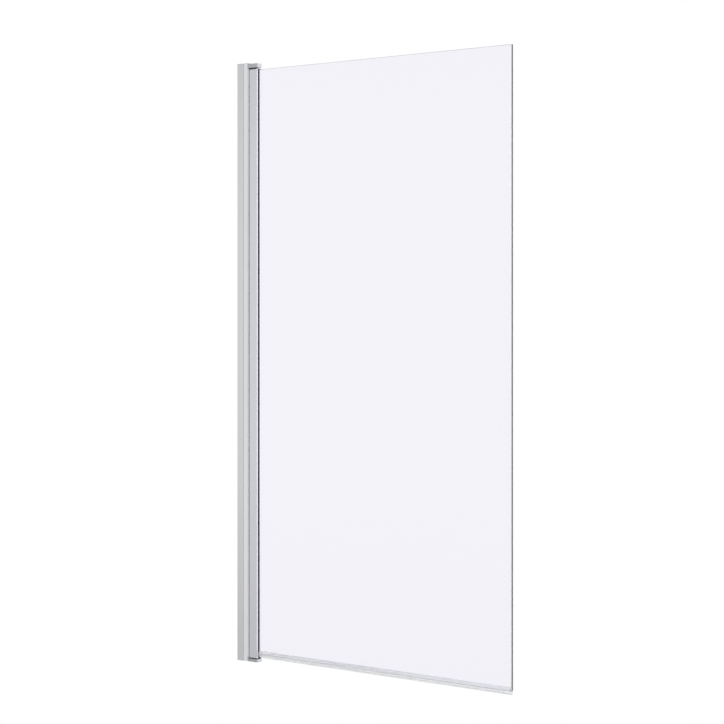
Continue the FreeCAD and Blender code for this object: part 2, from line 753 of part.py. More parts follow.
def make_bottom_seal(document, size, place):
    """The clear seal: two legs that grip the glass, over a hollow half-round bulb."""
    body = new_body(document, "bottom_seal", place.glass_bottom)
    grip = place.glass_half
    outer, inner = grip + size.seal_wall, grip
    leg, web = size.seal_leg, -size.seal_web
    bulb = web - size.seal_skirt
    start = place.post_end + size.gasket_bead + size.seal_start_gap
    section = new_sketch(body, "seal_section", "YZ_Plane", offset=start)
    add_outline(section, [(-outer, leg), (-outer, bulb), (outer, bulb), (outer, leg), (inner, leg),
                          (inner, ZERO), (-inner, ZERO), (-inner, leg)], {1: Arc(ZERO, bulb, True)})
    add_outline(section, [(-inner, web), (-inner, bulb), (inner, bulb), (inner, web)], {1: Arc(ZERO, bulb, True)})
    pad(body, section, size.overall_width - size.seal_end_inset - start)
    return body


# ---- the whole ----


def make_parts(document, size, place):
    """Every sub-part of the screen."""
    top_pin_foot = place.post_top + size.plug_flange + size.bracket_top_gap + size.pin_seat - pin_length(size)
    bottom_pin_foot = size.bottom_bracket_height - size.pin_seat
    return [
        make_wall_channel(document, size, place),
        make_adjuster_profile(document, size, place),
        make_top_cover(document, size, place),
        make_gap_seal(document, size, place),
        make_bracket(document, size, place, "top_hinge_bracket", at_top=True),
        make_bracket(document, size, place, "bottom_hinge_bracket", at_top=False),
        make_pin(document, size, place, "top_hinge_pin", top_pin_foot),
        make_pin(document, size, place, "bottom_hinge_pin", bottom_pin_foot),
        make_washer(document, size, place, "thrust_washer", size.bottom_bracket_height),
        make_bracket_screws(document, size, place),
        make_adjuster_screws(document, size, place),
        make_cup_washers(document, size, place),
        make_cover_caps(document, size, place),
        make_pivot_post(document, size, place),
        make_pivot_plug(document, size, place, "top_pivot_plug", at_top=True),
        make_pivot_plug(document, size, place, "bottom_pivot_plug", at_top=False),
        make_washer(document, size, place, "top_pivot_washer", place.top_flange),
        make_glass_panel(document, size, place),
        make_gasket(document, size, place, "front_glazing_gasket", side=-1),
        make_gasket(document, size, place, "rear_glazing_gasket", side=1),
        make_setting_blocks(document, size, place),
        make_bottom_seal(document, size, place),
    ]


def check_document(document, parts):
    """Stop if a feature failed, or if a sub-part's shape is missing or broken."""
    for item in document.Objects:
        if "Invalid" in item.State or "Error" in item.State:
            raise RuntimeError(f"{item.Name} failed: {item.State}")
    for item in parts:
        if item.Shape.isNull() or not item.Shape.isValid() or not item.Shape.Solids:
            raise RuntimeError(f"{item.Label} has no valid solid")


def write_parts(parts, folder):
    """Write each sub-part's shape to a file named by its label."""
    os.makedirs(folder, exist_ok=True)
    for item in parts:
        item.Shape.exportStep(os.path.join(folder, f"{item.Label}.step"))
        box = item.Shape.BoundBox
        print(f"{item.Label:24s} solids {len(item.Shape.Solids)}  volume {item.Shape.Volume:12.1f}  "
              f"x {box.XMin:.2f}..{box.XMax:.2f}  y {box.YMin:.2f}..{box.YMax:.2f}  "
              f"z {box.ZMin:.2f}..{box.ZMax:.2f}")


def main():
    """Build the document, check it and write its sub-parts."""
    document = FreeCAD.newDocument("bath_screen")
    size = SizeSheet(document)
    place = Screen(size)
    parts = make_parts(document, size, place)
    document.recompute()
    check_document(document, parts)
    write_parts(parts, "parts")


main()
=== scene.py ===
"""A pivoting bath screen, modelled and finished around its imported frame, with its studio and camera."""
import logging
import math
from abc import ABC, abstractmethod
from dataclasses import dataclass, field
from enum import Enum
from typing import Any, Callable, Iterable, Optional, Sequence, Union

import bmesh
import bpy
from mathutils import Matrix, Vector


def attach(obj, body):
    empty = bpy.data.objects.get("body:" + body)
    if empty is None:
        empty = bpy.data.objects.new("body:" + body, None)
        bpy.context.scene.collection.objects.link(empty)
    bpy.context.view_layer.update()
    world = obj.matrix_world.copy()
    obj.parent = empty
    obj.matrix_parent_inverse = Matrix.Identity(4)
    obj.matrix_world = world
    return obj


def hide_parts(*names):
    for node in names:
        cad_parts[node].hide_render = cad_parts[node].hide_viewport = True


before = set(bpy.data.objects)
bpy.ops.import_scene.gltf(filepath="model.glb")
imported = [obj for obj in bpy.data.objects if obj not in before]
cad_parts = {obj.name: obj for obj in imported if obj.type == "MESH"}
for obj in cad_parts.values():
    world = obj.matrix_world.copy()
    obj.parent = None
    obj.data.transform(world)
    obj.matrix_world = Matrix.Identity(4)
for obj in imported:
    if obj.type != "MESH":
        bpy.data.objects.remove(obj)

log = logging.getLogger("bath_screen")

METRES_PER_MM = 0.001
FULL_TURN = 2.0 * math.pi
QUARTER_TURN = math.radians(90.0)
SMOOTH_BELOW = math.radians(35.0)

Corner = tuple[float, ...]
Loop = Sequence[Corner]
Span = tuple[float, float]
Point = tuple[float, float, float]
Colour = tuple[float, float, float, float]

WHITE: Colour = (1.0, 1.0, 1.0, 1.0)
CLEAR_IOR = 1.5
# a face looks along an axis when this share of its direction lies on it
FACING = 0.9


class Body(Enum):
    """The two sides of the hinge."""

    WALL = "wall_side"
    PANEL = "swinging_panel"


class Side(Enum):
    """The face of the screen that something lies on, by the sign of Y."""

    FRONT = -1
    REAR = 1


class End(Enum):
    """The end of the post that something belongs to, by the direction in which it points outwards."""

    TOP = 1
    BOTTOM = -1


# sizes and places that several pieces share, in millimetres
PIVOT_X = 41.0
PIN_RADIUS = 3.0
RUNNING_FIT = 0.05
FIT = 0.1
SCREW_RADIUS = 1.75
LOCKING_X = 11.0
LOCKING_HEIGHTS = (290.0, 700.0, 1110.0)
BRACKET_SCREW_X = 23.2
BRACKET_SCREW_HEIGHTS = {End.BOTTOM: 17.0, End.TOP: 1381.0}

# how close two places count as one, and the shortest edge that a cut leaves
NEARLY = 1e-4
SLIVER = 1e-3
# how far a cutter reaches past what it cuts
SPARE = 1.0
# the flat that stays between two corners that are rounded into a half circle
FLAT = 0.01
# how many facets a rounded corner gets when its radius is below each size
FACETS = ((1.0, 3), (3.0, 6), (math.inf, 24))


def light_of(level: float) -> float:
    """Turn a display level into linear light, by the standard display curve.

    Args:
        level: The display level, 0 to 255.

    Returns:
        The linear value, 0 to 1.
    """
    share = level / 255.0
    if share <= 0.04045:
        return share / 12.92
    return ((share + 0.055) / 1.055) ** 2.4


def paint(red: float, green: float, blue: float) -> Colour:
    """Turn display levels into a linear colour."""
    return (light_of(red), light_of(green), light_of(blue), 1.0)


def shade_of(colour: Colour, factor: float) -> Colour:
    """Make a linear colour lighter or darker by a factor."""
    return tuple(min(1.0, channel * factor) for channel in colour[:3]) + (1.0,)


# ---- shader graphs ----


class Signal:
    """An output socket that can be used in arithmetic."""

    def __init__(self, graph: "Graph", socket: bpy.types.NodeSocket) -> None:
        """Keep the graph and the socket."""
        self.graph = graph
        self.socket = socket

    def __add__(self, other: "Operand") -> "Signal":
        """Add."""
        return self.graph.math("ADD", self, other)

    def __sub__(self, other: "Operand") -> "Signal":
        """Subtract."""
        return self.graph.math("SUBTRACT", self, other)

    def __rsub__(self, other: "Operand") -> "Signal":
        """Subtract this from the other."""
        return self.graph.math("SUBTRACT", other, self)

    def __mul__(self, other: "Operand") -> "Signal":
        """Multiply."""
        return self.graph.math("MULTIPLY", self, other)

    def __gt__(self, other: "Operand") -> "Signal":
        """Give 1 where this is greater."""
        return self.graph.math("GREATER_THAN", self, other)

    def __lt__(self, other: "Operand") -> "Signal":
        """Give 1 where this is less."""
        return self.graph.math("LESS_THAN", self, other)

    def __abs__(self) -> "Signal":
        """Drop the sign."""
        return self.graph.math("ABSOLUTE", self)


Operand = Union[Signal, float]
Sockets = dict[Union[str, int], Any]


class Graph:
    """A node tree that is emptied and built again."""

    def __init__(self, owner: Union[bpy.types.Material, bpy.types.World]) -> None:
        """Empty the tree of a material or a world."""
        owner.use_nodes = True
        self.tree = owner.node_tree
        self.tree.nodes.clear()

    def node(self, kind: str, inputs: Optional[Sockets] = None, settings: Optional[Sockets] = None,
             output: Union[str, int] = 0) -> Signal:
        """Add a node.

        Args:
            kind: The node's type.
            inputs: The values or signals of its sockets.
            settings: Its settings.
            output: The output that is used.

        Returns:
            That output.
        """
        made = self.tree.nodes.new(f"ShaderNode{kind}")
        for name, value in (settings or {}).items():
            setattr(made, name, value)
        for key, value in (inputs or {}).items():
            if isinstance(value, Signal):
                self.tree.links.new(value.socket, made.inputs[key])
            else:
                made.inputs[key].default_value = value
        return Signal(self, made.outputs[output])

    def math(self, operation: str, *operands: Operand) -> Signal:
        """Add a Math node."""
        return self.node("Math", dict(enumerate(operands)), {"operation": operation})

    def mix(self, factor: Operand, low: Any, high: Any) -> Signal:
        """Mix two colours."""
        return self.node("Mix", {"Factor": factor, 6: low, 7: high}, {"data_type": "RGBA"}, 2)

    def place(self, stretch: Point = (1.0, 1.0, 1.0)) -> Signal:
        """Give the object coordinates in metres, scaled along each axis."""
        return self.node("Mapping", {"Vector": self.node("TexCoord", output="Object"), "Scale": stretch})

    def facing(self) -> Signal:
        """Give the direction in which the face looks, in the piece's own frame."""
        settings = {"vector_type": "NORMAL", "convert_from": "WORLD", "convert_to": "OBJECT"}
        return self.node("VectorTransform", {0: self.node("NewGeometry", output="True Normal")}, settings)

    def axis(self, vector: Signal, letter: str) -> Signal:
        """Give one coordinate of a vector."""
        return self.node("SeparateXYZ", {0: vector}, output=letter)

    def noise(self, scale: float, detail: float, roughness: float = 0.5,
              stretch: Point = (1.0, 1.0, 1.0)) -> Signal:
        """Give smooth noise from 0 to 1 over the object.

        Args:
            scale: The waves in a metre.
            detail: The number of finer layers.
            roughness: How strong the finer layers are.
            stretch: What the coordinates along each axis are multiplied by.

        Returns:
            The noise.
        """
        inputs = {"Vector": self.place(stretch), "Scale": scale, "Detail": detail, "Roughness": roughness}
        return self.node("TexNoise", inputs)

    def spread(self, signal: Operand, low: float, high: float) -> Signal:
        """Stretch low..high to 0..1 and clamp it."""
        return self.node("MapRange", {"Value": signal, "From Min": low, "From Max": high}, {"clamp": True})

    def bump(self, height: Signal, depth: float, strength: float) -> Signal:
        """Turn a height of 0 to 1, which stands for a depth in metres, into a normal."""
        return self.node("Bump", {"Height": height, "Distance": depth, "Strength": strength})

    def ray(self, fact: str) -> Signal:
        """Give a fact about the ray that asks."""
        return self.node("LightPath", output=fact)

    def seen(self) -> Signal:
        """Give 1 for a ray from the camera, also behind glass."""
        return self.math("MAXIMUM", self.ray("Is Camera Ray"), self.ray("Is Transmission Ray"))

    def surface(self, sockets: Sockets) -> Signal:
        """Give a Principled shader with these sockets."""
        return self.node("BsdfPrincipled", sockets)

    def mix_shaders(self, factor: Signal, low: Signal, high: Signal) -> Signal:
        """Mix two shaders."""
        return self.node("MixShader", {0: factor, 1: low, 2: high})

    def output(self, kind: str, surface: Signal) -> None:
        """Add the output of a Material or a World."""
        made = self.tree.nodes.new(f"ShaderNodeOutput{kind}")
        self.tree.links.new(surface.socket, made.inputs["Surface"])


# ---- finishes ----


@dataclass(frozen=True)
class Finish(ABC):
    """A finish that makes one procedural material."""

    name: str
    colour: Colour

    def material(self) -> bpy.types.Material:
        """Give the material, made once."""
        title = f"{self.name}_finish"
        made = bpy.data.materials.get(title)
        if not made:
            made = bpy.data.materials.new(title)
            graph = Graph(made)
            graph.output("Material", self.shade(graph))
        return made

    @abstractmethod
    def shade(self, graph: Graph) -> Signal:
        """Build the shader."""


@dataclass(frozen=True)
class DrawnAluminium(Finish):
    """Bright anodised aluminium, with faint die lines along Z."""

    roughness: float = 0.2
    tone_matt: float = 0.05
    rub_matt: float = 0.06
    contrast: float = 0.035
    # how much paler both ends are painted, as painted light
    painted_end_light: float = 0.0
    middle: float = 0.83
    lip_polish: float = 0.0

    def shade(self, graph: Graph) -> Signal:
        """Build fine and broad die lines, cloudy anodising, rubbed marks, ends painted paler as painted
        light, and smoother lips.
        """
        fine = graph.noise(scale=1500.0, detail=2.0, stretch=(1.0, 1.0, 0.004))
        broad = graph.noise(scale=260.0, detail=2.0, stretch=(1.0, 1.0, 0.003))
        clouds = graph.noise(scale=14.0, detail=4.0, stretch=(1.0, 1.0, 0.35))
        rubbed = graph.spread(graph.noise(scale=90.0, detail=6.0, roughness=0.7), low=0.62, high=0.78)
        grain = fine * 0.6 + broad * 0.4
        tone = graph.spread(grain * 0.7 + clouds * 0.3, low=0.35, high=0.65)
        dark = shade_of(self.colour, 1.0 - self.contrast)
        light = shade_of(self.colour, 1.0 + self.contrast)
        colour = graph.mix(tone, dark, light)
        roughness = tone * self.tone_matt + rubbed * self.rub_matt + (self.roughness - self.tone_matt / 2)
        # painted light: the colour turns paler towards both ends, away from the middle height
        if self.painted_end_light:
            from_middle = abs(graph.axis(graph.place(), "Z") - self.middle)
            painted_pale_ends = shade_of(self.colour, 1.0 + self.painted_end_light)
            colour = graph.mix(graph.spread(from_middle, low=0.2, high=0.8), colour, painted_pale_ends)
        if self.lip_polish:
            lips = graph.axis(graph.facing(), "X") > FACING
            roughness = roughness - lips * self.lip_polish
        return graph.surface({
            "Base Color": colour,
            "Metallic": 1.0,
            "Roughness": roughness,
            "Normal": graph.bump(grain, depth=0.00001, strength=0.3),
        })


@dataclass(frozen=True)
class PlatedCasting(Finish):
    """A die casting, polished and plated, but left matt as cast on the level faces that look at the post,
    whose colour there is darkened as painted shade.
    """

    # the colour of the faces towards the post is painted shade, darker than the plating
    painted_gap_shade_colour: Colour
    cast_and_shaded_span: Span = (0.004, 1.392)
    roughness: float = 0.18
    wear_matt: float = 0.06
    cast_matt: float = 0.3

    def shade(self, graph: Graph) -> Signal:
        """Build slow waves under the plating, a fine mist of wear, and the matt cast faces, whose darker
        colour is painted shade.
        """
        waves = graph.noise(scale=90.0, detail=2.0)
        wear = graph.spread(graph.noise(scale=700.0, detail=4.0, roughness=0.6), low=0.4, high=0.8)
        height = graph.axis(graph.place(), "Z")
        low, high = self.cast_and_shaded_span
        # painted shade: the level faces between the ends, across the gap from the post, get the darker
        # colour
        cast_skin_and_shade = (abs(graph.axis(graph.facing(), "Z")) > FACING) * (height > low) * (height < high)
        plated = graph.mix(wear, self.colour, shade_of(self.colour, 0.95))
        return graph.surface({
            "Base Color": graph.mix(cast_skin_and_shade, plated, self.painted_gap_shade_colour),
            "Metallic": 1.0,
            "Roughness": cast_skin_and_shade * self.cast_matt + wear * self.wear_matt + self.roughness,
            "Normal": graph.bump(waves, depth=0.00002, strength=0.3),
        })


@dataclass(frozen=True)
class TurnedSteel(Finish):
    """Stainless steel that shows its turning rings and a little tumbling."""

    roughness: float = 0.2
    unevenness: float = 0.1

    def shade(self, graph: Graph) -> Signal:
        """Build the rings and the tumbled specks."""
        rings = graph.noise(scale=3000.0, detail=2.0, stretch=(0.05, 1.0, 1.0))
        specks = graph.noise(scale=900.0, detail=4.0)
        return graph.surface({
            "Base Color": graph.mix(specks, shade_of(self.colour, 0.8), self.colour),
            "Metallic": 1.0,
            "Roughness": rings * self.unevenness + specks * self.unevenness + self.roughness,
            "Normal": graph.bump(rings, depth=0.00002, strength=0.4),
        })


@dataclass(frozen=True)
class Moulding(Finish):
    """A moulded plastic with a fine spark-eroded skin."""

    roughness: float
    unevenness: float = 0.08

    def shade(self, graph: Graph) -> Signal:
        """Build the skin, and a slow drift of colour and gloss."""
        skin = graph.noise(scale=5200.0, detail=2.0)
        drift = graph.noise(scale=60.0, detail=3.0)
        mean = self.roughness - self.unevenness
        return graph.surface({
            "Base Color": graph.mix(drift, shade_of(self.colour, 0.95), shade_of(self.colour, 1.1)),
            "Roughness": skin * self.unevenness + drift * self.unevenness + mean,
            "Normal": graph.bump(skin, depth=0.00003, strength=0.5),
        })


@dataclass(frozen=True)
class SoftRubber(Finish):
    """An extruded rubber with faint lines along Z and a dusty bloom."""

    bloom_colour: Colour
    roughness: float = 0.5
    bloom_cover: float = 0.5
    bloom_matt: float = 0.15
    line_matt: float = 0.1

    def shade(self, graph: Graph) -> Signal:
        """Build the extrusion lines and the bloom."""
        lines = graph.noise(scale=2600.0, detail=2.0, stretch=(1.0, 1.0, 0.01))
        bloom = graph.spread(graph.noise(scale=35.0, detail=5.0, roughness=0.6), low=0.35, high=0.75)
        smooth = self.roughness - self.line_matt
        return graph.surface({
            "Base Color": graph.mix(bloom * self.bloom_cover, self.colour, self.bloom_colour),
            "Roughness": bloom * self.bloom_matt + lines * self.line_matt + smooth,
            "Normal": graph.bump(lines, depth=0.00003, strength=0.5),
        })


@dataclass(frozen=True)
class ClearGlass(Finish):
    """Clear toughened glass, with polished edges and ground bevels."""

    edge_colour: Colour
    frost_colour: Colour
    edge_frost: float = 0.15
    edge_roughness: float = 0.05
    bevel_lean: float = 0.5
    bevel_frost: float = 0.4
    frost_roughness: float = 0.4
    frost_transmission: float = 0.05
    grinding_matt: float = 0.1
    wave_matt: float = 0.004

    def shade(self, graph: Graph) -> Signal:
        """Build the faint waves of toughening, the polished edges and the frosting of the bevels."""
        waves = graph.noise(scale=9.0, detail=2.0, stretch=(1.0, 1.0, 0.25))
        grinding = graph.noise(scale=2400.0, detail=3.0)
        scratches = grinding * self.grinding_matt
        across = abs(graph.axis(graph.facing(), "Y"))
        edge = across < FACING
        bevel = edge * (across > self.bevel_lean)
        tint = graph.mix(edge, self.colour, self.edge_colour)
        clear = graph.surface({
            "Base Color": graph.mix(bevel, tint, self.frost_colour),
            "Roughness": edge * (scratches + self.edge_roughness) + waves * self.wave_matt,
            "IOR": CLEAR_IOR,
            "Transmission Weight": 1.0,
            "Normal": graph.bump(waves, depth=0.00002, strength=0.3),
        })
        frosted = graph.surface({
            "Base Color": graph.mix(grinding, self.frost_colour, shade_of(self.frost_colour, 0.96)),
            "Roughness": scratches + self.frost_roughness,
            "IOR": CLEAR_IOR,
            "Transmission Weight": self.frost_transmission,
        })
        ground = edge * self.edge_frost + bevel * (self.bevel_frost - self.edge_frost)
        return graph.mix_shaders(ground, clear, frosted)


@dataclass(frozen=True)
class ClearVinyl(Finish):
    """Clear flexible vinyl, a little milky, with faint lines along X."""

    milk_colour: Colour
    transmission: float = 0.85
    cover: float = 0.37
    roughness: float = 0.12
    line_matt: float = 0.06
    milk_matt: float = 0.05

    def shade(self, graph: Graph) -> Signal:
        """Build the extrusion lines and the uneven milkiness."""
        lines = graph.noise(scale=1800.0, detail=2.0, stretch=(0.01, 1.0, 1.0))
        milk = graph.noise(scale=45.0, detail=3.0, stretch=(0.3, 1.0, 1.0))
        return graph.surface({
            "Base Color": graph.mix(milk, self.colour, self.milk_colour),
            "Roughness": lines * self.line_matt + milk * self.milk_matt + self.roughness,
            "IOR": CLEAR_IOR,
            "Transmission Weight": self.transmission,
            "Alpha": self.cover,
            "Normal": graph.bump(lines, depth=0.00004, strength=0.5),
        })


PROFILE_SKIN = DrawnAluminium("wall_profile_aluminium", paint(214, 215, 217), roughness=0.22)
# the adjuster's ends are painted paler, as painted light
ADJUSTER_SKIN = DrawnAluminium("adjuster_aluminium", paint(226, 227, 229), roughness=0.22, painted_end_light=0.16)
POST_SKIN = DrawnAluminium("post_aluminium", paint(214, 214, 220), roughness=0.2, lip_polish=0.13)
# the second colour is painted shade on the bracket faces towards the post
BRACKET_SKIN = PlatedCasting("bracket_casting", paint(184, 185, 190), paint(120, 121, 124))
STEEL = TurnedSteel("screw_steel", paint(205, 205, 203))
PIN_STEEL = TurnedSteel("pin_steel", paint(190, 190, 190))
COVER_SKIN = Moulding("cover_moulding", paint(196, 198, 201), roughness=0.34)
CAP_SKIN = Moulding("cap_moulding", paint(200, 202, 204), roughness=0.32)
CUP_SKIN = Moulding("cup_moulding", paint(212, 212, 209), roughness=0.45)
NYLON = Moulding("pivot_nylon", paint(40, 40, 43), roughness=0.45)
BLOCK_SKIN = Moulding("setting_block_plastic", paint(218, 220, 219), roughness=0.4)
GASKET_SKIN = SoftRubber("glazing_rubber", paint(50, 54, 60), paint(96, 100, 106))
STRIP_SKIN = SoftRubber("soft_strip", paint(236, 236, 238), paint(242, 242, 243))
GLASS = ClearGlass("clear_glass", paint(243, 242, 249), paint(199, 206, 214), paint(254, 254, 255))
VINYL = ClearVinyl("clear_seal_plastic", paint(253, 254, 255), paint(246, 248, 255))


# ---- forms ----


@dataclass
class Form:
    """A mesh under construction, in millimetres. The methods that change it give it back."""

    mesh: bmesh.types.BMesh = field(default_factory=bmesh.new)

    def wire(self, loop: Loop, level: float = 0.0, closed: bool = True) -> None:
        """Draw an outline through its corners and round those that have a radius.

        Args:
            loop: The corners, as (x, y) or (x, y, radius).
            level: The height of the outline.
            closed: Whether the last corner joins the first.
        """
        verts = [self.mesh.verts.new((corner[0], corner[1], level)) for corner in loop]
        following = verts[1:] + verts[:1] if closed else verts[1:]
        for pair in zip(verts, following):
            self.mesh.edges.new(pair)
        for index, corner in enumerate(loop):
            if len(corner) > 2:
                following_corner = loop[(index + 1) % len(loop)]
                self.round_corner(verts[index], loop[index - 1], corner, following_corner)

    def round_corner(self, vert: bmesh.types.BMVert, before: Corner, at: Corner, after: Corner) -> None:
        """Round one corner of an outline.

        Args:
            vert: The corner's vertex.
            before: The corner before it.
            at: The corner, with its radius.
            after: The corner after it.
        """
        radius = at[2]
        arriving = Vector((at[0] - before[0], at[1] - before[1]))
        leaving = Vector((after[0] - at[0], after[1] - at[1]))
        offset = radius * math.tan(arriving.angle(leaving) / 2)
        steps = next(count for below, count in FACETS if radius < below)
        bmesh.ops.bevel(self.mesh, geom=[vert], offset=offset, offset_type="OFFSET", segments=steps,
                        profile=0.5, affect="VERTICES", material=-1)

    def prism(self, low: float, high: float, *loops: Loop) -> "Form":
        """Extrude a section along Z.

        Args:
            low: The height of its foot.
            high: The height of its top.
            loops: The outside of the section, and then its chambers.

        Returns:
            This form.
        """
        for loop in loops:
            self.wire(loop, low)
        foot = [edge for edge in self.mesh.edges if edge.is_wire]
        raised = bmesh.ops.extrude_edge_only(self.mesh, edges=foot)["geom"]
        verts = [item for item in raised if isinstance(item, bmesh.types.BMVert)]
        bmesh.ops.translate(self.mesh, verts=verts, vec=(0.0, 0.0, high - low))
        known = set(verts)
        edges = [item for item in raised if isinstance(item, bmesh.types.BMEdge)]
        head = [edge for edge in edges if known.issuperset(edge.verts)]
        for rim in (foot, head):
            if len(loops) == 1:
                bmesh.ops.contextual_create(self.mesh, geom=rim)
            else:
                bmesh.ops.triangle_fill(self.mesh, edges=rim, use_beauty=True)
        return self.outwards()

    def turned(self, loop: Loop, steps: int, closed: bool = False) -> "Form":
        """Spin a half section, drawn as (radius, height), about Z.

        Args:
            loop: The corners of the half section.
            steps: The number of steps round.
            closed: Whether the half section is a closed ring that stays off the axis.

        Returns:
            This form.
        """
        self.wire(loop, 0.0, closed)
        upright = Matrix.Rotation(QUARTER_TURN, 4, "X")
        chain = [edge for edge in self.mesh.edges if edge.is_wire]
        verts = list({vert for edge in chain for vert in edge.verts})
        bmesh.ops.transform(self.mesh, matrix=upright, verts=verts)
        bmesh.ops.spin(self.mesh, geom=verts + chain, cent=(0.0, 0.0, 0.0), axis=(0.0, 0.0, 1.0),
                       dvec=(0.0, 0.0, 0.0), angle=FULL_TURN, steps=steps, use_merge=True,
                       use_normal_flip=False, use_duplicate=False)
        return self.without_slivers(NEARLY).outwards()

    def block(self, low: Sequence[float], high: Sequence[float]) -> "Form":
        """Add a box between two corners."""
        made = bmesh.ops.create_cube(self.mesh, size=1.0)["verts"]
        size = [top - foot for foot, top in zip(low, high)]
        middle = [(top + foot) / 2 for foot, top in zip(low, high)]
        bmesh.ops.scale(self.mesh, vec=size, verts=made)
        bmesh.ops.translate(self.mesh, vec=middle, verts=made)
        return self

    def rod(self, radius: float, low: float, high: float, steps: int = 40) -> "Form":
        """Add a cylinder on the Z axis."""
        made = bmesh.ops.create_cone(self.mesh, cap_ends=True, segments=steps, radius1=radius,
                                     radius2=radius, depth=high - low)["verts"]
        bmesh.ops.translate(self.mesh, vec=(0.0, 0.0, (low + high) / 2), verts=made)
        return self

    def outwards(self) -> "Form":
        """Turn every face outwards."""
        bmesh.ops.recalc_face_normals(self.mesh, faces=self.mesh.faces)
        return self

    def without_slivers(self, shortest: float) -> "Form":
        """Close up the edges and faces that are too small to see."""
        bmesh.ops.remove_doubles(self.mesh, verts=self.mesh.verts, dist=shortest)
        bmesh.ops.dissolve_degenerate(self.mesh, dist=shortest, edges=self.mesh.edges)
        return self

    def soften(self, radius: float, steps: int = 3,
               wanted: Callable[[bmesh.types.BMEdge], bool] = lambda edge: True) -> "Form":
        """Round the sharp edges that pass a test.

        Args:
            radius: The radius.
            steps: The number of facets across it.
            wanted: The test.

        Returns:
            This form.
        """
        sharp = [edge for edge in self.mesh.edges if edge.is_manifold
                 and edge.calc_face_angle() > SMOOTH_BELOW and wanted(edge)]
        bmesh.ops.bevel(self.mesh, geom=sharp, offset=radius, offset_type="OFFSET", segments=steps,
                        profile=0.5, affect="EDGES", material=-1, clamp_overlap=True)
        return self

    def soften_rim(self, level: float, radius: float, steps: int = 3, beyond: float = -math.inf) -> "Form":
        """Round the rim of a level end face.

        Args:
            level: The height of the face.
            radius: The radius.
            steps: The number of facets across it.
            beyond: Where along X the rounding starts.

        Returns:
            This form.
        """
        def on_rim(edge: bmesh.types.BMEdge) -> bool:
            """Tell whether an edge lies on the rim."""
            reach = max(vert.co.x for vert in edge.verts)
            return reach > beyond + NEARLY and all(abs(vert.co.z - level) < NEARLY for vert in edge.verts)
        return self.soften(radius, steps, on_rim)

    def moved(self, x: float = 0.0, y: float = 0.0, z: float = 0.0) -> "Form":
        """Move everything."""
        bmesh.ops.translate(self.mesh, vec=(x, y, z), verts=self.mesh.verts)
        return self

    def laid(self, matrix: Matrix) -> "Form":
        """Turn everything by a matrix."""
        bmesh.ops.transform(self.mesh, matrix=matrix, verts=self.mesh.verts)
        return self

    def add(self, other: "Form") -> "Form":
        """Put a separate form beside this one."""
        spare = bpy.data.meshes.new("spare")
        other.mesh.to_mesh(spare)
        self.mesh.from_mesh(spare)
        bpy.data.meshes.remove(spare)
        return self

    def combine(self, other: "Form", operation: str) -> "Form":
        """Cut another closed form out of this one, or join it on.

        Args:
            other: The other form.
            operation: DIFFERENCE or UNION.

        Returns:
            This form.
        """
        stock = link_mesh("stock", self.mesh)
        tool = link_mesh("tool", other.mesh)
        modifier = stock.modifiers.new("combine", "BOOLEAN")
        modifier.operation = operation
        modifier.solver = "EXACT"
        modifier.object = tool
        evaluated = stock.evaluated_get(bpy.context.evaluated_depsgraph_get())
        result = bpy.data.meshes.new_from_object(evaluated)
        self.mesh = bmesh.new()
        self.mesh.from_mesh(result)
        for used in (stock, tool):
            data = used.data
            bpy.data.objects.remove(used)
            bpy.data.meshes.remove(data)
        bpy.data.meshes.remove(result)
        return self.without_slivers(SLIVER)

    def cut(self, other: "Form") -> "Form":
        """Cut another closed form out of this one."""
        return self.combine(other, "DIFFERENCE")

    def join(self, other: "Form") -> "Form":
        """Join another closed form onto this one."""
        return self.combine(other, "UNION")

    def piece(self, name: str, finish: Finish, body: Body, node: str) -> None:
        """Turn the form into a finished piece of the screen.

        Args:
            name: The piece's name.
            finish: Its finish, whose material it gets.
            body: The body that it rides on.
            node: The CAD node that it stands for.
        """
        self.laid(Matrix.Scale(METRES_PER_MM, 4))
        for face in self.mesh.faces:
            face.smooth = True
        faces = len(self.mesh.faces)
        made = link_mesh(name, self.mesh)
        made.data.set_sharp_from_angle(angle=SMOOTH_BELOW)
        weighted = made.modifiers.new("even_faces", "WEIGHTED_NORMAL")
        weighted.keep_sharp = True
        made.data.materials.append(finish.material())
        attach(made, body.value)
        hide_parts(node)
        log.info("%s: %d faces, %s, on %s", name, faces, finish.name, body.value)


def link(name: str, data: bpy.types.ID) -> bpy.types.Object:
    """Put an object with this data into the scene.

    Args:
        name: The object's name.
        data: Its mesh, lamp or camera.

    Returns:
        The object.
    """
    made = bpy.data.objects.new(name, data)
    bpy.context.scene.collection.objects.link(made)
    return made


def link_mesh(name: str, mesh: bmesh.types.BMesh) -> bpy.types.Object:
    """Turn a bmesh into an object of the scene, and free it."""
    data = bpy.data.meshes.new(name)
    mesh.to_mesh(data)
    mesh.free()
    return link(name, data)


def mirrored(loop: Loop) -> list[Corner]:
    """Close a half outline, drawn at negative Y, with its reflection."""
    return list(loop) + [(corner[0], -corner[1]) + tuple(corner[2:]) for corner in reversed(loop)]


TOWARDS_REAR = Matrix.Rotation(-QUARTER_TURN, 4, "X")
FROM_WALL = Matrix.Rotation(QUARTER_TURN, 4, "Y")
ALONG_X = Matrix(((0, 0, 1, 0), (1, 0, 0, 0), (0, 1, 0, 0), (0, 0, 0, 1)))


# ---- the wall side ----


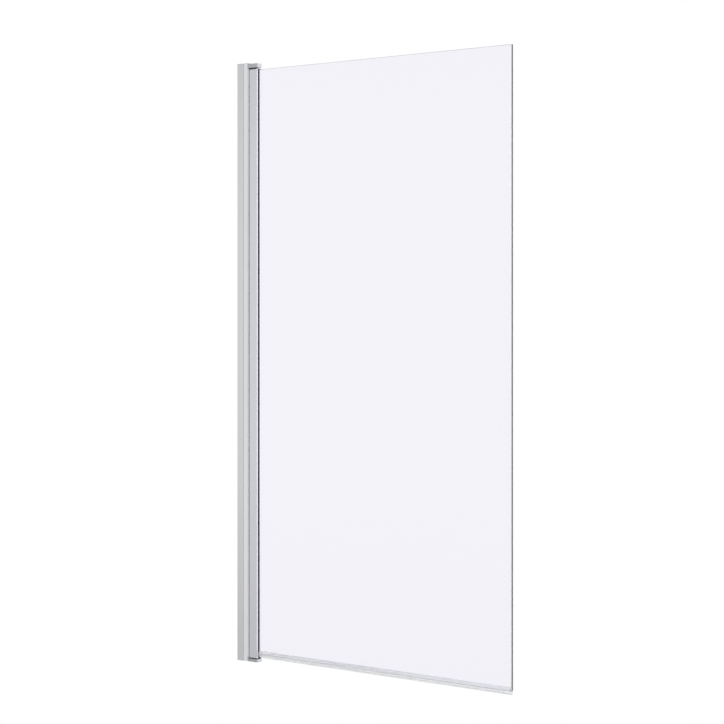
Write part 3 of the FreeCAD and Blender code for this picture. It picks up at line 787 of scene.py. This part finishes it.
@dataclass
class WallProfile:
    """The channel on the wall, the adjuster that slides in it, the cover on top and the gap strip."""

    top: float = 1398.8
    channel_half: float = 11.0
    channel_inside: float = 9.5
    channel_reach: float = 19.0
    channel_back: float = 2.0
    groove: Span = (5.0, 8.0)
    groove_depth: float = 0.5
    wall_holes: tuple[float, ...] = (85.0, 495.0, 905.0, 1315.0)
    wall_hole_radius: float = 2.5
    wall_hole_sink: float = 0.4
    adjuster_half: float = 9.35
    adjuster_inside: float = 7.95
    adjuster_back: float = 4.0
    adjuster_front: float = 31.0
    web: Span = (15.6, 17.0)
    chamber_front: float = 29.4
    corner: float = 2.5
    notch_low: float = 7.2
    notch_high: float = 1388.2
    cover_height: float = 1.2
    plug_depth: float = 5.0
    plug_end: float = 15.5
    plug_half: float = 7.85
    plug_wall: float = 1.4
    plug_inside: float = 6.4
    strip_foot_half: float = 1.5
    strip_half: float = 6.5
    strip_floor: float = 30.1
    strip_front: float = 32.2
    lip_width: float = 2.0
    lip_slope: float = 0.6
    lip_rise: float = 0.4

    def build(self) -> None:
        """Make every piece of the profile."""
        self.build_channel()
        self.build_adjuster()
        self.build_cover()
        self.build_strip()

    def rear_holes(self, x: float, radius: float, heights: Iterable[float]) -> Form:
        """Make rods along Y that drill through the rear arm of an extrusion.

        Args:
            x: Where the row of holes stands along X.
            radius: The radius of the holes.
            heights: The height of each.

        Returns:
            The rods.
        """
        rods = Form()
        low, high = self.adjuster_inside - 2 * SPARE, self.channel_half + 2 * SPARE
        for height in heights:
            rods.add(Form().rod(radius, low, high).laid(TOWARDS_REAR).moved(x, 0.0, height))
        return rods

    def build_channel(self) -> None:
        """Make the channel, with two shallow sealant grooves in its back and its screw holes."""
        half, inside, reach = self.channel_half, self.channel_inside, self.channel_reach
        near, far = self.groove
        back, deep = self.channel_back, self.groove_depth
        # the outline starts and ends in the middle of the back
        channel = Form().prism(0.0, self.top, mirrored([
            (0.0, -near), (deep, -near - deep), (deep, -far + deep), (0.0, -far), (0.0, -half, 0.5),
            (reach, -half, 1.4), (reach, -inside, 0.08), (back, -inside, 0.5)]))
        drills = Form()
        hole, sink = self.wall_hole_radius, self.wall_hole_sink
        mouth = hole + sink + SPARE
        for height in self.wall_holes:
            drill = Form().turned([(0.0, -SPARE), (mouth, -SPARE), (hole, sink), (hole, back - sink),
                                   (mouth, back + SPARE), (0.0, back + SPARE)], 40)
            drills.add(drill.laid(FROM_WALL).moved(0.0, 0.0, height))
        channel.cut(drills)
        channel.cut(self.rear_holes(LOCKING_X, SCREW_RADIUS + FIT, LOCKING_HEIGHTS))
        channel.piece("wall_channel_extrusion", PROFILE_SKIN, Body.WALL, "wall_channel")

    def build_adjuster(self) -> None:
        """Make the adjuster, with its chamber, its strip groove, its notches and its holes."""
        half, inside, front = self.adjuster_half, self.adjuster_inside, self.adjuster_front
        back, narrow = self.adjuster_back, self.strip_foot_half
        web_back, web_front = self.web
        outside = mirrored([
            (web_back, -inside, 0.4), (back, -inside, 0.3), (back, -half, 0.4), (front, -half, self.corner),
            (front, -narrow, 0.2), (self.strip_floor, -narrow, 0.1)])
        chamber = mirrored([(web_front, -inside, 0.4), (self.chamber_front, -inside, 1.1)])
        adjuster = Form().prism(0.0, self.top, outside, chamber)
        notches = Form()
        for low, high in ((-SPARE, self.notch_low), (self.notch_high, self.top + SPARE)):
            notches.block((self.chamber_front - SPARE, -inside, low), (front + SPARE, inside, high))
        adjuster.cut(notches)
        adjuster.cut(self.rear_holes(BRACKET_SCREW_X, SCREW_RADIUS + FIT, BRACKET_SCREW_HEIGHTS.values()))
        adjuster.cut(self.rear_holes(LOCKING_X, SCREW_RADIUS, LOCKING_HEIGHTS))
        adjuster.piece("adjuster_extrusion", ADJUSTER_SKIN, Body.WALL, "adjuster_profile")

    def build_cover(self) -> None:
        """Make the moulded cover: a plate over both extrusions, and a hollow plug."""
        reach, start, end = self.channel_reach, self.adjuster_back, self.plug_end
        wide, half, wall = self.plug_half, self.adjuster_half, self.plug_wall
        top = self.top + self.cover_height
        plate = Form().prism(self.top, top, mirrored([
            (0.0, -self.channel_half, 0.8), (reach, -self.channel_half, 0.9), (reach, -half, 0.2),
            (self.adjuster_front, -half, self.corner)]))
        plate.soften_rim(top, 0.35)
        outside = mirrored([(start, -wide, 0.5), (end, -wide, 0.5)])
        hollow = mirrored([(start + wall, -self.plug_inside, 0.5), (end - wall, -self.plug_inside, 0.5)])
        plug = Form().prism(self.top - self.plug_depth, self.top + self.cover_height / 2, outside, hollow)
        plate.join(plug)
        plate.piece("profile_cover", COVER_SKIN, Body.WALL, "wall_profile_top_cover")

    def build_strip(self) -> None:
        """Make the soft strip: a foot in the groove, and a pad with two rounded lips."""
        foot, front, wall = self.strip_floor, self.strip_front, self.adjuster_front
        narrow, half = self.strip_foot_half - RUNNING_FIT, self.strip_half
        lip = -half + self.lip_width
        strip = Form().prism(self.notch_low, self.notch_high, mirrored([
            (front - self.lip_rise, lip + self.lip_slope, 0.6), (front, lip, 0.5), (front, -half, 0.6),
            (wall, -half, 0.2), (wall, -narrow, 0.1), (foot, -narrow, 0.15)]))
        strip.piece("gap_wiper", STRIP_SKIN, Body.WALL, "hinge_gap_seal")


@dataclass
class HingeBracket:
    """One cast bracket with the pin that is pressed into it."""

    end: End
    outer_level: float
    height: float
    pin_foot: float
    tongue: float = 24.0
    tongue_back: float = 17.1
    tongue_front: float = 29.3
    narrow: float = 7.85
    start: float = 32.0
    finish_x: float = 61.5
    half: float = 8.7
    corner: float = 2.0
    pin_length: float = 21.4
    pin_rim: float = 0.6
    pin_seat: float = 5.4
    screw_hole_end: float = -1.2

    def build(self) -> None:
        """Make the bracket and its pin."""
        which, sign, outer = self.end.name.lower(), self.end.value, self.outer_level
        inner, tip = outer - sign * self.height, outer - sign * self.tongue
        back, start, narrow, half = self.tongue_back, self.start, self.narrow, self.half
        block = Form().prism(*sorted((inner, outer)), mirrored([
            (back, -narrow, 0.8), (start, -narrow, 0.3), (start, -half, 0.5),
            (self.finish_x, -half, self.corner)]))
        block.soften_rim(outer, 1.1, 4, beyond=start)
        block.soften_rim(inner, 0.35, beyond=start)
        tongue = Form().prism(*sorted((tip, inner + sign * SPARE)), mirrored([
            (back, -narrow, 0.8), (self.tongue_front, -narrow, 0.8)]))
        block.join(tongue.soften_rim(tip, 0.6))
        seat = Form().rod(PIN_RADIUS, *sorted((inner + sign * self.pin_seat, inner - sign * SPARE)), 48)
        block.cut(seat.moved(PIVOT_X))
        screw_hole = Form().rod(SCREW_RADIUS, self.screw_hole_end, narrow + SPARE, 32).laid(TOWARDS_REAR)
        block.cut(screw_hole.moved(BRACKET_SCREW_X, 0.0, BRACKET_SCREW_HEIGHTS[self.end]))
        block.piece(f"{which}_bracket_casting", BRACKET_SKIN, Body.WALL, f"{which}_hinge_bracket")
        self.build_pin(which)

    def build_pin(self, which: str) -> None:
        """Make the pin, with rounded rims."""
        radius, top, rim = PIN_RADIUS, self.pin_length, self.pin_rim
        pin = Form().turned([(0.0, 0.0), (radius, 0.0, rim), (radius, top, rim), (0.0, top)], 48)
        pin.moved(PIVOT_X, 0.0, self.pin_foot)
        pin.piece(f"{which}_pin", PIN_STEEL, Body.WALL, f"{which}_hinge_pin")


@dataclass
class PivotWasher:
    """A slippery washer round one of the pins."""

    node: str
    body: Body
    low: float
    thickness: float = 1.4
    radius: float = 8.0
    edge: float = 0.3

    def build(self) -> None:
        """Make the washer."""
        high, edge, bore = self.low + self.thickness, self.edge, PIN_RADIUS + RUNNING_FIT
        washer = Form().turned([(bore, self.low, edge), (self.radius, self.low, edge),
                                (self.radius, high, edge), (bore, high, edge)], 64, closed=True)
        washer.moved(PIVOT_X).piece(f"{self.node}_ring", NYLON, self.body, self.node)


@dataclass
class RearFasteners:
    """The screws at the rear, with the cups and caps of the locking ones."""

    length: float = 9.5
    point: float = 2.0
    pitch: float = 1.25
    flank: float = 0.35
    thread_depth: float = 0.32
    adjuster_face: float = 9.35
    pan_head: float = 3.4
    pan_rise: float = 2.2
    pan_neck: float = 0.4
    channel_face: float = 11.0
    flat_head: float = 3.5
    flat_rise: float = 1.75
    flat_neck: float = 0.2
    recess_span: float = 3.6
    recess_width: float = 0.9
    recess_depth: float = 1.1
    cup_radius: float = 5.0
    cup_taper: float = 0.4
    cap_radius: float = 5.8
    cap_rise: float = 4.0
    cap_dome: float = 0.5

    def build(self) -> None:
        """Make every screw, cup and cap."""
        on_adjuster = (BRACKET_SCREW_X, self.adjuster_face, BRACKET_SCREW_HEIGHTS.values())
        on_channel = (LOCKING_X, self.channel_face, LOCKING_HEIGHTS)
        for make, place, name, finish, node in (
                (self.pan_screw, on_adjuster, "bracket_screw_row", STEEL, "bracket_screws"),
                (self.flat_screw, on_channel, "locking_screw_row", STEEL, "adjuster_screws"),
                (self.cup, on_channel, "screw_cup_row", CUP_SKIN, "screw_cup_washers"),
                (self.cap, on_channel, "screw_cap_row", CAP_SKIN, "screw_cover_caps")):
            self.row(make, *place).piece(name, finish, Body.WALL, node)

    @staticmethod
    def row(make: Callable[[], Form], x: float, face: float, heights: Iterable[float]) -> Form:
        """Make a row of equal fasteners that look to the rear.

        Args:
            make: What makes one, upright on the origin.
            x: Where the row stands along X.
            face: Where the face that they stand on is along Y.
            heights: The height of each.

        Returns:
            The row.
        """
        row = Form()
        for height in heights:
            row.add(make().laid(TOWARDS_REAR).moved(x, face, height))
        return row

    def screw(self, head: Loop, rise: float, neck: float) -> Form:
        """Make one screw that points down the Z axis.

        Args:
            head: The half section of its head, from the middle outwards.
            rise: The height of its head.
            neck: The length of the plain neck under its head.

        Returns:
            The screw, with a cross recess.
        """
        outline = [*head, (SCREW_RADIUS, -neck)]
        level, root = -neck, SCREW_RADIUS - self.thread_depth
        while level - self.pitch > self.point - self.length:
            outline.append((root, level - self.pitch * self.flank))
            level -= self.pitch
            outline.append((SCREW_RADIUS, level))
        outline.append((0.0, -self.length))
        arm, slot = self.recess_span / 2, self.recess_width / 2
        quarter = [(-slot, -arm), (slot, -arm), (slot, -slot)]
        cross = []
        for _ in range(4):
            cross += quarter
            quarter = [(-y, x) for x, y in quarter]
        recess = Form().prism(rise - self.recess_depth, rise + SPARE, cross)
        return Form().turned(outline, 32).cut(recess)

    def pan_screw(self) -> Form:
        """Make a bracket's screw, with a pan head."""
        head = [(0.0, self.pan_rise), (self.pan_head, self.pan_rise, 1.3), (self.pan_head, 0.0, 0.2)]
        return self.screw(head, self.pan_rise, self.pan_neck)

    def flat_screw(self) -> Form:
        """Make a locking screw, whose flat head sits in its cup."""
        head = [(0.0, self.flat_rise), (self.flat_head, self.flat_rise), (SCREW_RADIUS, 0.0)]
        return self.screw(head, self.flat_rise, self.flat_neck)

    def cup(self) -> Form:
        """Make the cup under a locking screw."""
        hole, mouth = SCREW_RADIUS + FIT, self.flat_head + FIT
        outer, rise = self.cup_radius, self.flat_rise
        return Form().turned([(hole, 0.0), (outer, 0.0, 0.2), (outer - self.cup_taper, rise, 0.3),
                              (mouth, rise, 0.15)], 40, closed=True)

    def cap(self) -> Form:
        """Make the domed cap over a cup."""
        outer, inner, rise = self.cap_radius, self.cup_radius, self.cap_rise
        shoulder = rise - (outer - inner)
        return Form().turned([(0.0, shoulder), (inner, shoulder - self.cap_dome, 1.0), (inner, 0.0),
                              (outer, 0.0, 0.15), (outer, shoulder, 1.8), (0.0, rise)], 48)


# ---- the turning side ----


@dataclass
class PivotPost:
    """The post that carries the glass, with its plugs, gaskets and setting blocks."""

    low: float = 9.6
    high: float = 1384.4
    start: float = 32.5
    end: float = 61.0
    half: float = 8.5
    inside: float = 6.9
    chamber_start: float = 34.1
    chamber_end: float = 49.5
    pocket: float = 51.0
    lip_back: float = 59.4
    lip_edge: float = 4.5
    glass_half: float = 4.0
    hair: float = 0.03
    flange: float = 1.2
    flange_inset: float = 0.2
    plug_depth: float = 20.0
    plug_overlap: float = 0.5
    gasket_heel: float = 54.4
    gasket_foot: Span = (56.3, 59.3)
    gasket_end: float = 61.5
    gasket_bead: float = 0.3
    # low, high and reach of the setting block and of the two spacers
    blocks: tuple[Point, ...] = ((9.6, 18.0, 58.8), (259.6, 299.6, 52.5), (1094.4, 1134.4, 52.5))

    def build(self) -> None:
        """Make every piece of the post."""
        self.build_extrusion()
        for end in End:
            self.build_plug(end)
        for side in Side:
            self.build_gasket(side)
        self.build_blocks()

    def build_extrusion(self) -> None:
        """Make the extrusion: a round chamber for the pivot and a pocket with two lips for the glass."""
        half, inside, lip, end = self.half, self.inside, self.lip_edge, self.end
        outside = mirrored([
            (self.pocket, -inside, 0.4), (self.lip_back, -inside, 0.3), (self.lip_back, -lip, 0.2),
            (end, -lip, 0.15), (end, -half, 0.6), (self.start, -half, half - FLAT)])
        chamber = mirrored([
            (self.chamber_start, -inside, inside - FLAT), (self.chamber_end, -inside, 0.4)])
        post = Form().prism(self.low, self.high, outside, chamber)
        post.piece("post_extrusion", POST_SKIN, Body.PANEL, "pivot_post")

    def build_plug(self, end: End) -> None:
        """Make a plug: a flange over the post's end, a boss in its chamber and a bore for the pin.

        Args:
            end: The end of the post that it closes.
        """
        which, sign = end.name.lower(), end.value
        level = self.high if end is End.TOP else self.low
        outer, inner = level + sign * self.flange, level - sign * self.plug_depth
        half, inset = self.half - self.flange_inset, self.flange_inset
        plug = Form().prism(*sorted((level, outer)), mirrored([
            (self.start + inset, -half, half - FLAT), (self.end - inset, -half, 0.5)]))
        plug.soften_rim(outer, 0.25)
        narrow = self.inside - FIT
        boss = Form().prism(*sorted((inner, level + sign * self.plug_overlap)), mirrored([
            (self.chamber_start + FIT, -narrow, narrow - FLAT), (self.chamber_end - FIT, -narrow, 0.4)]))
        plug.join(boss)
        bore = sorted((inner - sign * SPARE, outer + sign * SPARE))
        plug.cut(Form().rod(PIN_RADIUS + RUNNING_FIT, *bore, 48).moved(PIVOT_X))
        plug.piece(f"{which}_plug", NYLON, Body.PANEL, f"{which}_pivot_plug")

    def build_gasket(self, side: Side) -> None:
        """Make a gasket: a lining with a foot behind the lip and a fine bead outside.

        Args:
            side: The face of the glass that it lies on.
        """
        which, sign = side.name.lower(), side.value
        face, lip, foot = self.glass_half + self.hair, self.lip_edge, self.inside - FIT
        heel, end = self.gasket_heel, self.gasket_end
        foot_start, foot_end = self.gasket_foot
        outline = [(heel, face), (end, face, 0.1), (end, face + self.gasket_bead, 0.15), (self.end, lip),
                   (foot_end, lip), (foot_end, foot, 0.4), (foot_start, foot, 0.4), (heel, lip, 0.2)]
        section = [(x, y * sign, *radius) for x, y, *radius in outline]
        gasket = Form().prism(self.low, self.high, section)
        gasket.piece(f"{which}_gasket", GASKET_SKIN, Body.PANEL, f"{which}_glazing_gasket")

    def build_blocks(self) -> None:
        """Make the block under the glass and the two spacers behind its edge."""
        blocks = Form()
        for low, high, reach in self.blocks:
            block = Form().block((self.pocket, -self.glass_half, low),
                                 (reach - self.hair, self.glass_half, high - self.hair))
            blocks.add(block.soften(0.35))
        blocks.piece("glass_blocks", BLOCK_SKIN, Body.PANEL, "glass_setting_blocks")


@dataclass
class GlassPane:
    """The sheet of toughened glass."""

    low: Point = (52.5, -4.0, 18.0)
    high: Point = (800.0, 4.0, 1383.4)
    arris: float = 0.6
    bevel: float = 3.2

    def build(self) -> None:
        """Make the sheet, with a bevel down the front of its free edge and a ground arris elsewhere."""
        sheet = Form().block(self.low, self.high)
        sheet.soften(self.bevel, 1, self.is_free_front)
        sheet.soften(self.arris)
        sheet.piece("glass_sheet", GLASS, Body.PANEL, "glass_panel")

    def is_free_front(self, edge: bmesh.types.BMEdge) -> bool:
        """Tell whether an edge of the block is the front one at the free end."""
        return all(vert.co.x > self.high[0] - NEARLY and vert.co.y < 0.0 for vert in edge.verts)


@dataclass
class BottomSeal:
    """The clear seal that grips the glass's lower edge and wipes the bath's rim."""

    start: float = 61.8
    end: float = 799.5
    outer: float = 5.1
    inner: float = 4.1
    leg_top: float = 26.5
    seat: float = 17.9
    web_underside: float = 16.4
    foot: float = 10.5
    cavity_half: float = 4.0
    cavity_foot: float = 11.6

    def build(self) -> None:
        """Make the seal: two legs with rounded tips, a web and a hollow half-round bulb."""
        inner, outer, hollow = self.inner, self.outer, self.cavity_half
        outside = [(-inner, self.seat, 0.3), (-inner, self.leg_top, 0.2), (-outer, self.leg_top, 0.6),
                   (-outer, self.foot, outer - FLAT)]
        cavity = [(-hollow, self.web_underside, 0.4), (-hollow, self.cavity_foot, hollow - FLAT)]
        loops = [half + [(-across, level, radius) for across, level, radius in reversed(half)]
                 for half in (outside, cavity)]
        seal = Form().prism(self.start, self.end, *loops).laid(ALONG_X)
        seal.piece("clear_bottom_seal", VINYL, Body.PANEL, "bottom_seal")


# ---- the studio ----


@dataclass
class Studio:
    """A pale floor below the screen, a white surround and soft lamps, in metres."""

    floor_level: float = -0.55
    floor_radius: float = 2.2
    fade_start: float = 0.9
    fade_end: float = 1.7
    floor_colour: Colour = paint(238, 238, 238)
    middle: Span = (0.4, 0.0)
    fill: float = 0.6
    room_level: float = 0.99
    room_slope: float = 0.06
    dim_band: Span = (0.08, 0.26)
    dimming: float = 0.5
    window: float = 0.62
    window_side: Span = (0.66, 0.75)
    window_edge: float = 0.75

    def build(self) -> None:
        """Make the surround, the floor and the lamps."""
        self.build_surround()
        self.build_floor()
        self.build_lamp("key_softbox", (1.9, -3.3, 3.0), target=(0.4, 0.0, 0.7), side=2.2, power=55.0)
        self.build_lamp("end_softbox", (2.9, 3.0, 0.6), target=(0.1, 0.0, 0.6), side=3.2, power=14.5)
        bpy.context.scene.view_settings.view_transform = "Standard"

    def build_surround(self) -> None:
        """Make a surround that is white where it is seen, and a soft fill otherwise.

        Metal mirrors it as a room that is darker above and below and lighter towards +X. Its soft window
        only shows once a ray has been mirrored, so that the glass stays even.
        """
        world = bpy.data.worlds.new("white_surround")
        bpy.context.scene.world = world
        graph = Graph(world)
        direction = graph.node("TexCoord", output="Generated")
        along, across, height = (graph.axis(direction, letter) for letter in "XYZ")
        falloff = 1 - graph.spread(abs(height), *self.dim_band) * self.dimming
        room = (along * self.room_slope + self.room_level) * falloff
        towards = along * self.window_side[0] + across * self.window_side[1]
        mirrored_once = graph.math("MINIMUM", graph.ray("Glossy Depth"), 1.0)
        window = graph.spread(towards, self.window_edge, 1.0) * mirrored_once * self.window
        glossy = graph.ray("Is Glossy Ray")
        shown = graph.math("MAXIMUM", graph.seen(), glossy * room) + window
        lit = graph.math("MAXIMUM", shown, (1 - glossy) * self.fill)
        graph.output("World", graph.node("Background", {"Color": WHITE, "Strength": lit}))

    def build_floor(self) -> None:
        """Make a round floor that fades to the surround's white away from the screen."""
        x, y = self.middle
        mesh = bmesh.new()
        bmesh.ops.create_circle(mesh, cap_ends=True, radius=self.floor_radius, segments=96)
        bmesh.ops.translate(mesh, verts=mesh.verts, vec=(x, y, self.floor_level))
        floor = link_mesh("studio_floor", mesh)
        made = bpy.data.materials.new("pale_floor")
        graph = Graph(made)
        place = graph.place()
        along, across = graph.axis(place, "X") - x, graph.axis(place, "Y") - y
        reach = graph.math("SQRT", along * along + across * across)
        seen, glossy = graph.seen(), graph.ray("Is Glossy Ray")
        fade = graph.spread(reach, self.fade_start, self.fade_end) * graph.math("MAXIMUM", seen, glossy)
        matt = graph.node("BsdfDiffuse", {"Color": self.floor_colour})
        glow = graph.node("Emission", {"Strength": 1.0})
        rim = graph.mix_shaders(glossy * (1 - seen), glow, graph.node("BsdfTransparent"))
        graph.output("Material", graph.mix_shaders(fade, matt, rim))
        floor.data.materials.append(made)

    @staticmethod
    def build_lamp(name: str, place: Point, target: Point, side: float, power: float) -> None:
        """Make a square soft lamp, which lights the screen without being seen in metal or glass.

        Args:
            name: The lamp's name.
            place: Where it stands, in metres.
            target: What it points at.
            side: The length of its side.
            power: Its power in watts.
        """
        data = bpy.data.lights.new(name, "AREA")
        data.shape = "SQUARE"
        data.size = side
        data.energy = power
        lamp = link(name, data)
        lamp.location = place
        lamp.rotation_euler = (Vector(target) - Vector(place)).to_track_quat("-Z", "Y").to_euler()
        lamp.visible_camera = False
        lamp.visible_glossy = False
        lamp.visible_transmission = False


@dataclass
class PhotoCamera:
    """The camera at the photograph's viewing angle: level, in front of the free end."""

    place: Point = (3.5501, -3.6241, 0.8287)
    turn_degrees: float = 41.18
    photo_pixels: float = 724.0
    focal_pixels: float = 2151.5
    horizon_pixel: float = 307.2
    sensor: float = 36.0

    def build(self) -> None:
        """Make the camera and give it to the scene."""
        data = bpy.data.cameras.new("photo_camera")
        data.sensor_width = self.sensor
        data.sensor_fit = "HORIZONTAL"
        data.lens = self.sensor * (self.focal_pixels / self.photo_pixels)
        data.shift_y = (self.horizon_pixel - self.photo_pixels / 2) / self.photo_pixels
        camera = link("photo_camera", data)
        camera.location = self.place
        camera.rotation_euler = (QUARTER_TURN, 0.0, math.radians(self.turn_degrees))
        bpy.context.scene.camera = camera


def main() -> None:
    """Build the studio, the camera and the screen, and log each piece."""
    logging.basicConfig(level=logging.INFO, format="%(message)s")
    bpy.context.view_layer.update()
    PhotoCamera().build()
    Studio().build()
    WallProfile().build()
    HingeBracket(End.TOP, outer_level=1398.0, height=9.6, pin_foot=1372.4).build()
    HingeBracket(End.BOTTOM, outer_level=0.0, height=7.0, pin_foot=1.6).build()
    PivotWasher("thrust_washer", Body.WALL, low=7.0).build()
    PivotWasher("top_pivot_washer", Body.PANEL, low=1385.6).build()
    RearFasteners().build()
    PivotPost().build()
    GlassPane().build()
    BottomSeal().build()


if __name__ == "__main__":
    main()
